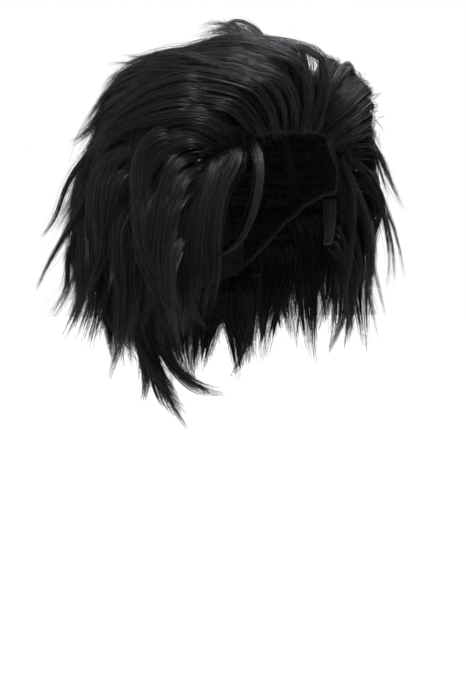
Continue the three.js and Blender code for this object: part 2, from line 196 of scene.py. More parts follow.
def brushing(points):
    """The way the hair is brushed at these points: back and to its own side on top, and down elsewhere."""
    rel = points - CENTRE
    side = np.tanh((rel[..., 0] - PARTING) / PARTING_SOFTNESS)
    top = smooth(rel[..., 2], 0.005, 0.09)
    to_left = side > 0
    across = np.where(to_left, *BRUSHED_ASIDE) * side
    back = np.where(to_left, *BRUSHED_BACK)
    over = np.stack([across, back, np.full_like(back, 0.1)], -1)
    swept = 0.3 * smooth(-rel[..., 1], -0.03, 0.05) * smooth(rel[..., 2], -0.06, 0.02)
    down = np.stack([np.zeros_like(swept), swept, np.full_like(swept, -1.15)], -1)
    return over * top[..., None] + down * (1 - top[..., None])


def grow(roots, style):
    """Guide curves: each follows the brushing while it rises to its share of the volume, and then flicks."""
    step = style["length"] / (GUIDE_POINTS - 1)
    point = roots
    start, out = off_head(point)
    lines = [point]
    for n in range(1, GUIDE_POINTS):
        t = n / (GUIDE_POINTS - 1)
        flow = unit(brushing(point))
        bend = style["turn"] * smooth(t, 0.35, 1.0) + style["sway"] * np.sin(t * 5 + style["phase"])
        swing = np.cross(out, flow) * np.tan(np.clip(bend, -1.2, 1.2))[:, None]
        flow = flow + swing
        flow = unit(flow - out * np.sum(flow * out, -1, keepdims=True))
        point = point + flow * step[:, None]
        offset, out = off_head(point)
        risen = 1 - (1 - np.clip(t / style["lift"], 0, 1)) ** 2
        target = start + (hair_volume(point) * style["share"] - start) * risen
        target = target + style["flick"] * np.clip((t - 0.55) / 0.45, 0, 1) ** 1.8
        rhythm = np.sin(2 * np.pi * (1.35 * t + style["phase"]))
        target = target + style["wave"] * rhythm * smooth(t, 0.15, 0.5)
        target = target - NECK_TUCK * (1 - style["share"]) * smooth(CENTRE[2] - point[:, 2], 0.07, 0.15)
        point = point + out * (target - offset)[:, None]
        lines.append(point)
    return np.stack(lines, 1)


def tuft(guides, owner, pull):
    """Draws each guide towards its tuft's own guide, so that the tips meet in points."""
    t = np.linspace(0, 1, GUIDE_POINTS)
    weight = smooth(t, 0.2, 1.0)[None, :, None] * pull[:, None, None]
    return guides + (guides[owner] - guides) * weight


def resample(lines, count, part):
    """Each line cut to a part of its length, at evenly spaced points."""
    across = np.linspace(0, 1, count)[None, :] * part[:, None] * (lines.shape[1] - 1)
    low = np.minimum(across.astype(int), lines.shape[1] - 2)
    share = (across - low)[..., None]
    rows = np.arange(len(lines))[:, None]
    return lines[rows, low] * (1 - share) + lines[rows, low + 1] * share


def line_frames(lines):
    """The ways along, across and out of each line at each point."""
    along = unit(np.gradient(lines, axis=1))
    _, out = off_head(lines)
    across = unit(np.cross(along, out))
    lifted = np.cross(across, along)
    return along, across, lifted


def frizzed(lines, strength, rng):
    """Strands that wander off their smooth course, more towards the tips."""
    wander = rng.normal(0, 1, (len(lines), 3, 3))
    phase = np.linspace(0, 1, STRAND_POINTS)[None, :, None]
    for wave in range(3):
        turning = np.sin(phase * (2.2 + 2.1 * wave) + wander[:, None, wave] * 3)
        lines = lines + turning * wander[:, None, (wave + 1) % 3] * strength * phase / (1 + wave)
    return lines


def strand_lines(
    guides, width, thickness, count, rng, point_at=2.4, ends=0.7, frizz=0.0007, stray=0.06, root_spread=1.0,
):
    """Strand centre lines: spread over each lock's section, and drawn into a few pointed wisps at its tip."""
    picks = np.repeat(np.arange(len(guides)), count)
    total = len(picks)
    part = rng.uniform(ends, 1, total)
    part[rng.random(total) < SHORT_STRANDS] *= SHORT_CUT
    lines = resample(guides[picks], STRAND_POINTS, part)
    _, across, lifted = line_frames(lines)
    radius = np.sqrt(rng.random(total))
    turn = rng.uniform(0, 2 * np.pi, total)
    spot = np.stack([radius * np.cos(turn), radius * np.sin(turn)], -1)
    wisps = rng.uniform(-0.8, 0.8, (len(guides), WISPS, 2))
    goal = wisps[picks, rng.integers(0, WISPS, total)]
    t = np.linspace(0, 1, STRAND_POINTS)[None, :] * part[:, None]
    drawn = t ** point_at
    gathered = drawn * (1 - 0.55 * t ** 4)
    spread = spot[:, None] * (1 - 0.94 * drawn)[..., None] + goal[:, None] * gathered[..., None]
    loose = rng.random(total) < stray
    spread = spread * np.where(loose, rng.uniform(*STRAY_REACH, total), 1)[:, None, None]
    spread = spread * (root_spread + (1 - root_spread) * smooth(t, 0, 0.2))[..., None]
    lines = lines + across * (spread[..., 0] * width[picks][:, None])[..., None]
    lines = lines + lifted * (spread[..., 1] * thickness[picks][:, None])[..., None]
    strength = frizz * np.where(loose, STRAY_FRIZZ, 1)[:, None, None]
    return frizzed(lines, strength, rng)


def tube_mesh(lines, radii, sides, turn, squash=1.0):
    """Vertices and quads of tubes along lines, with small closed ends."""
    _, across, lifted = line_frames(lines)
    count, points = lines.shape[:2]
    ring = np.linspace(0, 2 * np.pi, sides, endpoint=False)[None, :] + turn[:, None]
    cos, sin = np.cos(ring)[:, None, :, None], np.sin(ring)[:, None, :, None]
    rim = across[:, :, None] * cos + lifted[:, :, None] * sin * squash
    vertices = (lines[:, :, None] + rim * radii[..., None, None]).reshape(-1, 3)
    base = (np.arange(count) * points * sides)[:, None, None]
    rows = (np.arange(points - 1) * sides)[None, :, None]
    here = np.arange(sides)[None, None, :]
    after = (here + 1) % sides
    quads = np.stack([
        base + rows + here, base + rows + after, base + rows + sides + after, base + rows + sides + here,
    ], -1).reshape(-1, 4)
    root = (base[:, 0] + here[0, :, ::-1]).reshape(-1, sides)
    tip = (base[:, 0] + (points - 1) * sides + here[0]).reshape(-1, sides)
    return vertices, quads, [root, tip]


def mesh_of(name, points, faces, slots):
    """A smooth-shaded mesh from corners and a list of face arrays, each array with faces of one size."""
    loops = np.concatenate([f.ravel() for f in faces]).astype(np.int32)
    sizes = np.concatenate([np.full(len(f), f.shape[1]) for f in faces])
    starts = np.concatenate([[0], np.cumsum(sizes)[:-1]]).astype(np.int32)
    mesh = bpy.data.meshes.new(name)
    mesh.vertices.add(len(points))
    mesh.vertices.foreach_set("co", points.astype(np.float32).ravel())
    mesh.loops.add(len(loops))
    mesh.loops.foreach_set("vertex_index", loops)
    mesh.polygons.add(len(starts))
    mesh.polygons.foreach_set("loop_start", starts)
    mesh.polygons.foreach_set("material_index", slots.astype(np.int32))
    mesh.update(calc_edges=True)
    mesh.polygons.foreach_set("use_smooth", np.ones(len(starts), bool))
    return mesh, loops, sizes


def shown(name, mesh, materials):
    for material in materials:
        mesh.materials.append(material)
    piece = bpy.data.objects.new(name, mesh)
    bpy.context.scene.collection.objects.link(piece)
    return piece


def hair_object(name, parts):
    """One mesh of tube sets: each is its corners, quads, caps, shade and reach per corner, and material."""
    faces, slots, offset = [], [], 0
    for points, quads, caps, _, _, slot in parts:
        for group in [quads, *caps]:
            faces.append(group + offset)
            slots.append(np.full(len(group), slot))
        offset += len(points)
    slots = np.concatenate(slots)
    mesh, loops, sizes = mesh_of(name, np.concatenate([part[0] for part in parts]), faces, slots)
    shade = np.concatenate([part[3] for part in parts])
    reach = np.concatenate([part[4] for part in parts])
    for label, data in (("strand", shade), ("along", reach)):
        mesh.attributes.new(label, "FLOAT", "POINT").data.foreach_set("value", data.astype(np.float32))
    across = shade[loops] * STRAND_UV_WIDTH
    # Faces in slot 1 are the dark cores, painted shade inside the locks.
    core = np.repeat(slots, sizes) == 1
    uv = np.stack([np.where(core, 1 - across * 0.1, across), reach[loops]], -1)
    mesh.uv_layers.new(name=BAKE_UV).data.foreach_set("uv", uv.astype(np.float32).ravel())
    return shown(name, mesh, [STRAND_MATERIAL, SHADE_CORE_MATERIAL])


def tubes(name, sets, material):
    """A piece of plain tubes: each set is its lines, radius, sides and flatness."""
    points, faces, offset = [], [], 0
    for lines, radius, sides, squash in sets:
        lines = np.asarray(lines)
        radii = np.full(lines.shape[:2], radius)
        corners, quads, caps = tube_mesh(lines, radii, sides, np.zeros(len(lines)), squash)
        points.append(corners)
        faces += [group + offset for group in [quads, *caps]]
        offset += len(corners)
    slots = np.zeros(sum(len(group) for group in faces))
    mesh, _, _ = mesh_of(name, np.concatenate(points), faces, slots)
    return shown(name, mesh, [material])


def strand_part(guides, width, thickness, count, rng, **options):
    """The fine strands of a hair piece."""
    lines = strand_lines(guides, width, thickness, count, rng, **options)
    t = np.linspace(0, 1, STRAND_POINTS)
    thick = rng.uniform(0.75, 1.2, len(lines))
    radii = STRAND_RADIUS * thick[:, None] * (1 - 0.75 * t[None, :] ** 2.2)
    points, quads, caps = tube_mesh(lines, radii, 3, rng.uniform(0, 6, len(lines)))
    per_strand = STRAND_POINTS * 3
    value = np.repeat(rng.random(len(lines)), per_strand)
    along = np.tile(np.repeat(t, 3), len(lines))
    return points, quads, caps, value, along, 0


def shade_core_part(guides, width, thickness, core, rng):
    """Painted shade: a dark core in each lock of a hair piece, thin at the root and at the tip, standing in
    for the shade deep among its strands.
    """
    inner = resample(guides, CORE_POINTS, np.full(len(guides), CORE_REACH))
    share = np.linspace(0, 1, CORE_POINTS)[None, :]
    body = (1 - 0.97 * share ** 1.8) * (0.25 + 0.75 * smooth(share, 0, 0.3)) * core * width[:, None]
    flat = float(np.mean(thickness / width))
    points, quads, caps = tube_mesh(inner, body, CORE_SIDES, np.zeros(len(guides)), squash=flat)
    value = np.repeat(rng.random(len(guides)) * 0.2, CORE_POINTS * CORE_SIDES)
    along = np.tile(np.repeat(share[0] * CORE_REACH, CORE_SIDES), len(guides))
    return points, quads, caps, value, along, 1


def groom(name, guides, width, thickness, rng, count=STRANDS_PER_LOCK, core=0.58, **options):
    """A hair piece from guide curves: the strands of each lock, and its dark core of painted shade."""
    count = min(count, MOST_STRANDS // len(guides))
    strands = strand_part(guides, width, thickness, count, rng, **options)
    shade_cores = shade_core_part(guides, width, thickness, core, rng)
    piece = hair_object(name, [strands, shade_cores])
    return piece


# ---------------------------------------------------------------- materials
def node_material(name):
    material = bpy.data.materials.new(name)
    material.use_nodes = True
    nodes = material.node_tree.nodes
    return material, nodes, material.node_tree.links, nodes["Principled BSDF"]


def ramp(nodes, stops):
    node = nodes.new("ShaderNodeValToRGB")
    elements = node.color_ramp.elements
    while len(elements) < len(stops):
        elements.new(0.5)
    for element, (at, colour) in zip(elements, stops):
        element.position = at
        element.color = (*colour, 1)
    return node


def strand_material():
    """Black synthetic fibre: a cool gloss, and a little browner in some strands."""
    material, nodes, links, shader = node_material("black_fibre")
    value = nodes.new("ShaderNodeAttribute")
    value.attribute_name = "strand"
    colours = ramp(nodes, [
        (0.0, (0.0040, 0.0031, 0.0028)), (0.45, (0.0070, 0.0054, 0.0048)),
        (0.8, (0.0105, 0.0084, 0.0078)), (1.0, (0.018, 0.0135, 0.0110)),
    ])
    links.new(value.outputs["Fac"], colours.inputs["Fac"])
    links.new(colours.outputs["Color"], shader.inputs["Base Color"])
    gloss = nodes.new("ShaderNodeMapRange")
    gloss.inputs["To Min"].default_value = 0.24
    gloss.inputs["To Max"].default_value = 0.42
    links.new(value.outputs["Fac"], gloss.inputs["Value"])
    links.new(gloss.outputs["Result"], shader.inputs["Roughness"])
    shader.inputs["Specular IOR Level"].default_value = 0.5
    shader.inputs["Specular Tint"].default_value = (0.92, 0.92, 1.0, 1)
    return material


def shade_core_material():
    """Painted shade: the deep, shaded inside of a lock, given a near-black colour."""
    material, nodes, links, shader = node_material("painted_shade_core")
    noise = nodes.new("ShaderNodeTexNoise")
    noise.inputs["Scale"].default_value = 900
    colours = ramp(nodes, [(0.3, (0.002, 0.0018, 0.0018)), (0.7, (0.0045, 0.004, 0.0038))])
    links.new(noise.outputs["Fac"], colours.inputs["Fac"])
    links.new(colours.outputs["Color"], shader.inputs["Base Color"])
    shader.inputs["Roughness"].default_value = 0.8
    shader.inputs["Specular IOR Level"].default_value = 0.1
    return material


def fabric_material(name, dark, light, scale, roughness, bump, sheen=0.0):
    """Knitted or woven cloth, or moulded nylon: fine cells with a coarser clouding over them."""
    material, nodes, links, shader = node_material(name)
    place_node = nodes.new("ShaderNodeTexCoord")
    weave = nodes.new("ShaderNodeTexVoronoi")
    weave.feature = "DISTANCE_TO_EDGE"
    weave.inputs["Scale"].default_value = scale
    links.new(place_node.outputs["Object"], weave.inputs["Vector"])
    noise = nodes.new("ShaderNodeTexNoise")
    noise.inputs["Scale"].default_value = scale * 0.08
    noise.inputs["Detail"].default_value = 6
    links.new(place_node.outputs["Object"], noise.inputs["Vector"])
    mix = nodes.new("ShaderNodeMath")
    mix.operation = "MULTIPLY_ADD"
    mix.inputs[1].default_value = 1.6
    links.new(weave.outputs["Distance"], mix.inputs[0])
    links.new(noise.outputs["Fac"], mix.inputs[2])
    colours = ramp(nodes, [(0.35, dark), (0.95, light)])
    links.new(mix.outputs["Value"], colours.inputs["Fac"])
    links.new(colours.outputs["Color"], shader.inputs["Base Color"])
    rough = nodes.new("ShaderNodeMapRange")
    rough.inputs["To Min"].default_value = roughness + 0.08
    rough.inputs["To Max"].default_value = roughness - 0.08
    links.new(noise.outputs["Fac"], rough.inputs["Value"])
    links.new(rough.outputs["Result"], shader.inputs["Roughness"])
    relief = nodes.new("ShaderNodeBump")
    relief.inputs["Strength"].default_value = bump
    relief.inputs["Distance"].default_value = 0.0004
    links.new(weave.outputs["Distance"], relief.inputs["Height"])
    links.new(relief.outputs["Normal"], shader.inputs["Normal"])
    shader.inputs["Sheen Weight"].default_value = sheen
    return material


STRAND_MATERIAL = strand_material()
# The cores' near-black colour is painted shade, standing for the shade deep inside each lock.
SHADE_CORE_MATERIAL = shade_core_material()

# Each slot's cloth: its name, dark and light colour, scale, roughness, relief and sheen.
CLOTHS = {
    "net": ("stretch_net", (0.002, 0.002, 0.002), (0.012, 0.012, 0.013), 900, 0.85, 0.8),
    "elastic": ("ribbed_elastic", (0.003, 0.003, 0.0035), (0.014, 0.0135, 0.015), 1400, 0.75, 0.6),
    "velvet": ("brushed_velvet", (0.003, 0.003, 0.004), (0.018, 0.018, 0.022), 2200, 0.9, 0.4, 0.08),
    "label": ("label_satin", (0.62, 0.6, 0.55), (0.82, 0.8, 0.75), 2500, 0.5, 0.3),
    "plastic": ("black_nylon", (0.004, 0.004, 0.004), (0.012, 0.012, 0.013), 300, 0.35, 0.1),
}
SLOT_MATERIALS = {slot: fabric_material(*cloth) for slot, cloth in CLOTHS.items()}
NET_THREAD_MATERIAL = fabric_material(
    "net_thread", (0.003, 0.003, 0.003), (0.012, 0.012, 0.013), 3000, 0.7, 0.3)
THREAD_MATERIAL = fabric_material(
    "sewing_thread", (0.006, 0.006, 0.006), (0.03, 0.03, 0.031), 3500, 0.5, 0.3)


def dress_frame():
    """The cap's own CAD nodes keep their shapes and take finished materials."""
    slots = {row["node"]: row["material_slot"] for row in frame["record"]["subparts"]}
    for node, piece in frame["nodes"].items():
        material = SLOT_MATERIALS.get(slots[node])
        if material:
            piece.data.materials.clear()
            piece.data.materials.append(material)


# ---------------------------------------------------------------- the cap's sewn detail
NET_CELL = 0.0036
NET_THREAD = 0.00021
NET_OFFSET = 0.0015
WEFT_OFFSET = 0.0046
WEFT_HALF_HEIGHT = 0.0019
WEFT_LEVELS = [84, 78, 72, 62, 58, 46, 42, 37, 33, 22, 18, 13, 9, -3, -8, -13, -27, -33, -39]
WEFT_SLACK = 4
STITCH = 0.0024
STITCH_THREAD = 0.00022
BINDING = 0.0017
SIDES = (("right", -1), ("left", 1))

# The seams of the front and nape bands: first and last angle, rises over the cap's edge, and half height.
BAND_SEAMS = [(-50, 50, (2.2, 9.6), 0.5), (137, 223, (2.4, 20.4), 0.7)]
BAND_SEAM_OFFSET = -0.0002
RIB_ANGLES = (180, 146, -146, 104, -104)
RIB_EDGE = 2.2
RIB_SEAM_OFFSET = 0.0026

# A cheek tab: its front and back edge in degrees at the top, its top level and its depth.
TAB_ANGLES = (63, 77)
TAB_LEVELS = (8, -24)
TAB_TAPER = 0.4
TAB_OFFSET = 0.00155
TAB_INSIDE = 0.0010
TAB_BINDING = 0.0012
TAB_BINDING_INSET = 0.02
TAB_SEAM_INSET = 0.17
TAB_TOP = 0.02
POCKET_EDGES = (0.38, 0.62)
POCKET_ENDS = (0.04, 0.94)
POCKET_STITCHES = 26

# The adjusters turn round the nape on this axis, at this depth below the widest level.
ADJUSTER_DEPTH = 0.049
NAPE_SHARE = math.sqrt(1 - (ADJUSTER_DEPTH / HALF_HEIGHT) ** 2)
ADJUSTER_AXIS_Y = (HALF_LENGTH - HALF_WIDTH**2 / HALF_LENGTH) * NAPE_SHARE
HOOK_MIDDLE = 15
HOOK_HALF_TURN = 2.7
HOOK_HALF_HEIGHT = 0.0027
HOOK_SQUARENESS = 0.4
HOOK_OFFSET = -0.0038
HOOK_WIRE = 0.0006
PRONG_BEND = 0.0007
STRAP_ENDS = (14, 48)
STRAP_RIBS = range(-3, 4)
STRAP_RIB_SPACING = 0.0011
STRAP_RIB_THICKNESS = 0.0003
STRAP_INSIDE = -0.0029

# The thread loops: how many, where they start and their spacing in degrees, then sizes and offset.
LOOPS = 5
LOOP_START = 3.5
LOOP_SPACING = 2
LOOP_HALF_HEIGHT = 0.0036
LOOP_THREAD = 0.00025
LOOP_OFFSET = -0.0012
LOOP_BULGE = 0.0004

# The label's stitched edge: angles and levels.
LABEL_ANGLES = (174.5, 185.5)
LABEL_LEVELS = (-35.4, -22.6)
LABEL_STITCHES = 12
LABEL_OFFSET = -0.0011


def lines_at(angles, level, offset):
    """A line round the head through these angles, at one level or at a level for each."""
    return place(np.asarray(angles), level, offset)[None]


def edge_angle(level):
    """How far round from the face the cap starts at a level."""
    return float(np.interp(-level, [-e for _, e in CAP_EDGE], [a for a, _ in CAP_EDGE]))


def net_level(angle, distance):
    """The level that lies this far down the cap from the crown, and whether it is still on the cap."""
    level = np.zeros_like(distance)
    inside = np.zeros(len(distance), bool)
    column = np.round(np.degrees(angle)).astype(int) % 360
    for turn in np.unique(column):
        here = column == turn
        levels = np.linspace(90, cap_edge(turn), 60)
        trail = place(turn, levels, NET_OFFSET)
        down = np.concatenate([[0], np.cumsum(np.linalg.norm(np.diff(trail, axis=0), axis=1))])
        level[here] = np.interp(distance[here], down, levels)
        inside[here] = distance[here] < down[-1]
    return level, inside


def net_threads():
    """The stretch net: a honeycomb of threads, laid out flat round the crown and wrapped over the head."""
    reach = int(0.27 / NET_CELL)
    rows, columns = np.mgrid[-reach:reach + 1, -reach:reach + 1]
    across = (columns + 0.5 * (rows % 2)) * NET_CELL
    centres = np.stack([across, rows * NET_CELL * math.sqrt(3) / 2], -1).reshape(-1, 2)
    turn = np.radians(30 + 60 * np.arange(4))
    corners = centres[:, None] + np.stack([np.cos(turn), np.sin(turn)], -1)[None] * NET_CELL / math.sqrt(3)
    flat = np.stack([corners[:, :-1], corners[:, 1:]], 2).reshape(-1, 2)
    angle = np.arctan2(flat[:, 0], -flat[:, 1])
    level, inside = net_level(angle, np.hypot(flat[:, 0], flat[:, 1]))
    ends = place(np.degrees(angle), level, NET_OFFSET).reshape(-1, 2, 3)
    return ends[inside.reshape(-1, 2).all(axis=1)]


def weft_rows():
    """The ribbons that the hair is sewn to, row over row."""
    rows = []
    for level in WEFT_LEVELS:
        start = edge_angle(level - WEFT_SLACK) + 2
        rows.append(lines_at(np.linspace(start, 360 - start, 90), level, WEFT_OFFSET))
    return rows


def side_to_side(count, size):
    """Steps to one side and to the other in turn."""
    return np.where(np.arange(count) % 2 == 0, -size, size)


def zigzag(angles, level_of, offset, height):
    """A zigzag seam along a line of levels."""
    path = place(angles, level_of(angles), offset)
    length = np.sum(np.linalg.norm(np.diff(path, axis=0), axis=1))
    count = int(length / STITCH) * 2
    spots = np.linspace(angles[0], angles[-1], count)
    return place(spots, level_of(spots) + side_to_side(count, height), offset)[None]


def upright_seam(angle, offset, side):
    """A zigzag seam down one edge of a rib."""
    levels = np.linspace(TOP_LEVEL, cap_edge(angle) + 12, 120)
    sway = side + side_to_side(120, 0.35)
    return place(angle + sway, levels, offset)[None]


def weft_seam(level):
    """The zigzag seam along one weft ribbon."""
    start = edge_angle(level - WEFT_SLACK)
    around = np.linspace(start + 3, 357 - start, 60)
    return zigzag(around, lambda angles: np.full_like(angles, level), WEFT_OFFSET - 0.0005, 0.45)


def band_seam(first, last, rise, height):
    """A zigzag seam that follows the cap's edge."""
    around = np.linspace(first, last, 40)
    return zigzag(around, lambda angles: cap_edge(angles) + rise, BAND_SEAM_OFFSET, height)


def cap_seams():
    seams = [weft_seam(level) for level in WEFT_LEVELS]
    for first, last, rises, height in BAND_SEAMS:
        seams += [band_seam(first, last, rise, height) for rise in rises]
    for angle in RIB_ANGLES:
        seams += [upright_seam(angle, RIB_SEAM_OFFSET, side) for side in (-RIB_EDGE, RIB_EDGE)]
    return seams


def sewn_piece(name, sets, material, body):
    piece = tubes(name, sets, material)
    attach(piece, body)
    return piece


def cap_details():
    """The net, the weft ribbons, the seams and the binding round the cap's edge."""
    net = sewn_piece("net_threads", [(net_threads(), NET_THREAD, 3, 1)], NET_THREAD_MATERIAL, "cap")
    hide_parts("crown_net")
    wefts = [(row, WEFT_HALF_HEIGHT, 8, 0.16) for row in weft_rows()]
    sewn_piece("weft_ribbons", wefts, SLOT_MATERIALS["elastic"], "cap")
    seams = [(seam, STITCH_THREAD, 4, 1) for seam in cap_seams()]
    sewn_piece("cap_seams", seams, THREAD_MATERIAL, "cap")
    around = np.linspace(0, 360, 220)
    edge = lines_at(around, cap_edge(around) + 0.7, 0.0022)
    sewn_piece("edge_binding", [(edge, BINDING, 10, 0.62)], SLOT_MATERIALS["velvet"], "cap")


def tab_line(side, across, down, offset):
    """Points on a cheek tab: across from its front edge to its back edge, and down, each from 0 to 1."""
    across, down = np.asarray(across, float), np.asarray(down, float)
    share = 0.5 + (across - 0.5) * (1 - TAB_TAPER * down)
    angles = side * (TAB_ANGLES[0] + (TAB_ANGLES[1] - TAB_ANGLES[0]) * share)
    return place(angles, TAB_LEVELS[0] + (TAB_LEVELS[1] - TAB_LEVELS[0]) * down, offset)


def round_three_sides(inset, count):
    """Shares across and down a tab, along its front edge, its bottom and its back edge."""
    front, back, bottom = inset, 1 - inset, 1 - inset / 2
    across = np.concatenate([
        np.full(count, front), np.linspace(front, back, count), np.full(count, back),
    ])
    down = np.concatenate([
        np.linspace(TAB_TOP, bottom, count), np.full(count, bottom), np.linspace(bottom, TAB_TOP, count),
    ])
    return across, down


def tab_details(name, side):
    """The binding round a cheek tab's free edges, and the seams that hold it and the stay's pocket."""
    body = name + "_cheek_tab"
    across, down = round_three_sides(TAB_BINDING_INSET, 14)
    edge = tab_line(side, across, down, TAB_OFFSET)[None]
    binding = [(edge, TAB_BINDING, 8, 0.8)]
    sewn_piece(name + "_tab_binding", binding, SLOT_MATERIALS["velvet"], body)
    across, down = round_three_sides(TAB_SEAM_INSET, 16)
    sway = side_to_side(len(across), 0.02)
    seam = tab_line(side, across + sway, down + sway, TAB_INSIDE)[None]
    sway = side_to_side(POCKET_STITCHES, 0.012)
    depths = np.linspace(*POCKET_ENDS, POCKET_STITCHES)
    pocket = [tab_line(side, edge + sway, depths, TAB_INSIDE) for edge in POCKET_EDGES]
    threads = [(seam, STITCH_THREAD, 4, 1), (np.array(pocket), STITCH_THREAD, 4, 1)]
    sewn_piece(name + "_tab_seams", threads, THREAD_MATERIAL, body)


def nape_line(turn, depth, offset):
    """Points on the adjusters' curve: degrees round from the nape's middle, depth, distance off the head."""
    turn, depth, offset = np.broadcast_arrays(*(np.asarray(v, float) for v in (turn, depth, offset)))
    reach = HALF_LENGTH * np.sqrt(1 - (depth / HALF_HEIGHT) ** 2) - ADJUSTER_AXIS_Y + offset
    angle = np.radians(180 - turn)
    return np.stack([np.sin(angle) * reach, ADJUSTER_AXIS_Y - np.cos(angle) * reach, CENTRE[2] - depth], -1)


def rounded(values, power):
    return np.sign(values) * np.abs(values) ** power


def hook_ring(side):
    """A hook's frame, a rounded rectangle, and the bar that the strap is sewn round."""
    turn = np.linspace(0, 2 * np.pi, 33)
    around = side * (HOOK_MIDDLE + HOOK_HALF_TURN * rounded(np.cos(turn), HOOK_SQUARENESS))
    depth = ADJUSTER_DEPTH + HOOK_HALF_HEIGHT * rounded(np.sin(turn), HOOK_SQUARENESS)
    bar = ADJUSTER_DEPTH + np.linspace(-HOOK_HALF_HEIGHT, HOOK_HALF_HEIGHT, 5)
    return nape_line(around, depth, HOOK_OFFSET), nape_line(side * HOOK_MIDDLE, bar, HOOK_OFFSET)


def hook_prong(side):
    """A hook's prong: out from its frame, round its bend and back towards it."""
    bend = np.linspace(0, math.pi, 9)
    turn = np.concatenate([[12.3, 11.3, 10.3], 9.6 - 1.0 * np.sin(bend), [10.4, 11.2]])
    offset = np.concatenate([
        np.full(3, HOOK_OFFSET), HOOK_OFFSET + PRONG_BEND * (1 - np.cos(bend)), [-0.0023, -0.0022],
    ])
    return nape_line(side * turn, ADJUSTER_DEPTH, offset)


def thread_loops(side):
    """The loops that the hook slips into."""
    bend = np.linspace(0, math.pi, 9)
    depth = ADJUSTER_DEPTH + LOOP_HALF_HEIGHT * np.cos(bend)
    offset = LOOP_OFFSET - LOOP_BULGE * np.sin(bend)
    return np.array([nape_line(side * (LOOP_START + LOOP_SPACING * n), depth, offset) for n in range(LOOPS)])


def adjuster_details(name, side):
    """A bent nylon hook on the elastic strap, the strap's ribs, and the thread loops."""
    body = name + "_adjuster"
    wires = [(line[None], HOOK_WIRE, 8, 1) for line in (*hook_ring(side), hook_prong(side))]
    hook = sewn_piece(name + "_hook", wires, SLOT_MATERIALS["plastic"], body)
    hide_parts(name + "_adjuster_hook")
    around = side * np.linspace(*STRAP_ENDS, 24)
    ribs = [nape_line(around, ADJUSTER_DEPTH + row * STRAP_RIB_SPACING, STRAP_INSIDE) for row in STRAP_RIBS]
    ribs = [(np.array(ribs), STRAP_RIB_THICKNESS, 5, 1)]
    sewn_piece(name + "_strap_ribs", ribs, SLOT_MATERIALS["elastic"], body)
    loops = [(thread_loops(side), LOOP_THREAD, 5, 1)]
    sewn_piece(name + "_thread_loops", loops, THREAD_MATERIAL, "cap")


def label_stitches():
    """The thread round the edge of the blank label."""
    left, right = LABEL_ANGLES
    low, high = LABEL_LEVELS
    corners = np.array([(left, low), (right, low), (right, high), (left, high), (left, low)])
    path = np.array([
        start + (end - start) * n / LABEL_STITCHES
        for start, end in zip(corners, corners[1:]) for n in range(LABEL_STITCHES)
    ])
    path = path + side_to_side(len(path), 0.16)[:, None]
    line = place(path[:, 0], path[:, 1], LABEL_OFFSET)[None]
    sewn_piece("label_stitches", [(line, STITCH_THREAD, 4, 1)], THREAD_MATERIAL, "cap")


def sewn_details():
    for name, side in SIDES:
        tab_details(name, side)
        adjuster_details(name, side)
    label_stitches()


# ---------------------------------------------------------------- the hair, section by section
def cut(length, share, lift, flick, turn):
    """How a kind of section is cut: its length, its share of the volume, how soon it has risen, how far its
    tips flick out, and how many degrees they turn towards the back. Pairs are lowest and highest."""
    return {"length": length, "share": share, "lift": lift, "flick": flick, "turn": turn}


FRONT = cut((0.105, 0.165), (0.84, 1.06), 0.22, (-0.006, 0.012), (-25, 25))
CROWN = cut((0.08, 0.14), (0.82, 1.04), 0.36, (0.0, 0.014), (-25, 35))
TEMPLE = cut((0.09, 0.15), (0.5, 1.0), 0.32, (-0.006, 0.010), (-38, 12))
LEFT_TEMPLE = cut((0.09, 0.16), (0.7, 1.15), 0.32, (0.0, 0.022), (-30, 20))
UPPER = cut((0.085, 0.155), (0.82, 1.02), 0.34, (0.0, 0.016), (-12, 35))
MIDDLE = cut((0.085, 0.15), (0.62, 0.95), 0.34, (0.0, 0.020), (-12, 40))
LOWER = cut((0.08, 0.145), (0.42, 0.82), 0.34, (-0.002, 0.024), (-12, 42))
COLLAR = cut((0.07, 0.125), (0.26, 0.6), 0.4, (-0.008, 0.020), (-25, 35))
NAPE = cut((0.075, 0.125), (0.05, 0.3), 0.5, (-0.016, 0.008), (-66, -8))
MID_NAPE = cut((0.05, 0.09), (0.05, 0.3), 0.5, (-0.01, 0.006), (-30, 30))
CHEEK = cut((0.055, 0.1), (0.25, 0.75), 0.5, (-0.008, 0.010), (-20, 20))
HAIRLINE = cut((0.028, 0.06), (0.14, 0.5), 0.7, (-0.002, 0.003), (-24, 24))

# EDGE stands for the cap's edge where a lowest level is asked for. A tuft has about this many guides.
EDGE = None
TUFT_SIZE = 5

# Root zones: the node each stands for, its angles, its lowest and highest level, and its kind.
SECTIONS = [
    ("front_hair_right", (-60, -20), (EDGE, TOP_LEVEL), FRONT),
    ("front_hair_center", (-20, 20), (EDGE, TOP_LEVEL), FRONT),
    ("front_hair_left", (20, 60), (EDGE, TOP_LEVEL), FRONT),
    ("crown_hair", (-180, 180), (TOP_LEVEL + 1, 90), CROWN),
    ("right_temple_hair", (-80, -60), (13, TOP_LEVEL), TEMPLE),
    ("left_temple_hair", (60, 80), (13, TOP_LEVEL), LEFT_TEMPLE),
    ("left_collar_hair", (110, 180), (-24, 2), COLLAR),
    ("right_collar_hair", (180, 250), (-24, 2), COLLAR),
    ("left_nape_hair", (130, 160), (-58, -24), MID_NAPE),
    ("center_nape_hair", (160, 200), (-58, -24), MID_NAPE),
    ("right_nape_hair", (200, 240), (-58, -24), NAPE),
]
for row_name, row_levels, row_kind in (
    ("upper", (50, TOP_LEVEL), UPPER), ("middle", (26, 50), MIDDLE), ("lower", (2, 26), LOWER),
):
    for side_name, side_angles in (("left", (80, 130)), ("back", (130, 230)), ("right", (230, 280))):
        SECTIONS.append((f"{side_name}_{row_name}_hair", side_angles, row_levels, row_kind))


